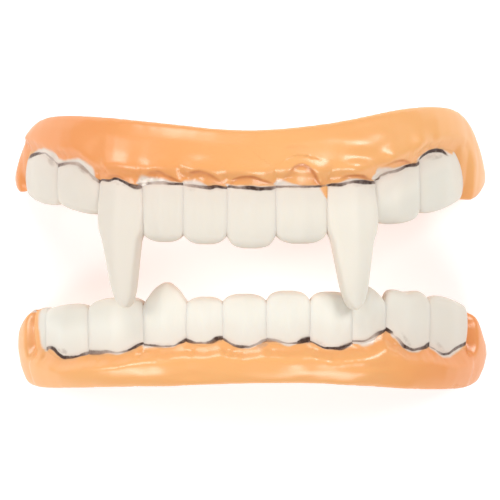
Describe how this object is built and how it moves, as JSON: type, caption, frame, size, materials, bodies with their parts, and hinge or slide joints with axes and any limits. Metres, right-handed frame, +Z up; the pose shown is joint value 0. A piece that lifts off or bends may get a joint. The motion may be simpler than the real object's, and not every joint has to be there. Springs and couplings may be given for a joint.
{
  "type": "vampire fang denture",
  "caption": "Soft vinyl costume denture: an upper arch with long fangs and a lower arch, each a glossy gum trough with separate teeth let into its front, laid together as loose plates.",
  "frame": {"origin": "bottom centre of the bounding box: on the table, under the middle of the two plates as they lie", "axes": "+X to the viewer's right along the arches, +Y from the lower plate to the upper plate, +Z up, the way the tooth fronts face"},
  "size_m": [0.0734, 0.043, 0.0298],
  "materials": {
    "gum": "glossy soft vinyl, flesh orange",
    "tooth": "satin soft vinyl, off-white"
  },
  "bodies": {
    "root": {"upper_gum": "gum", "upper_left_molar": "tooth", "upper_left_premolar": "tooth", "upper_left_fang": "tooth", "upper_left_lateral_incisor": "tooth", "upper_left_central_incisor": "tooth", "upper_right_central_incisor": "tooth", "upper_right_lateral_incisor": "tooth", "upper_right_fang": "tooth", "upper_right_premolar": "tooth", "upper_right_molar": "tooth", "lower_gum": "gum", "lower_left_back_molar": "tooth", "lower_left_molar": "tooth", "lower_left_premolar": "tooth", "lower_left_canine": "tooth", "lower_left_lateral_incisor": "tooth", "lower_left_central_incisor": "tooth", "lower_right_central_incisor": "tooth", "lower_right_lateral_incisor": "tooth", "lower_right_canine": "tooth", "lower_right_premolar": "tooth", "lower_right_molar": "tooth"}
  },
  "joints": []
}
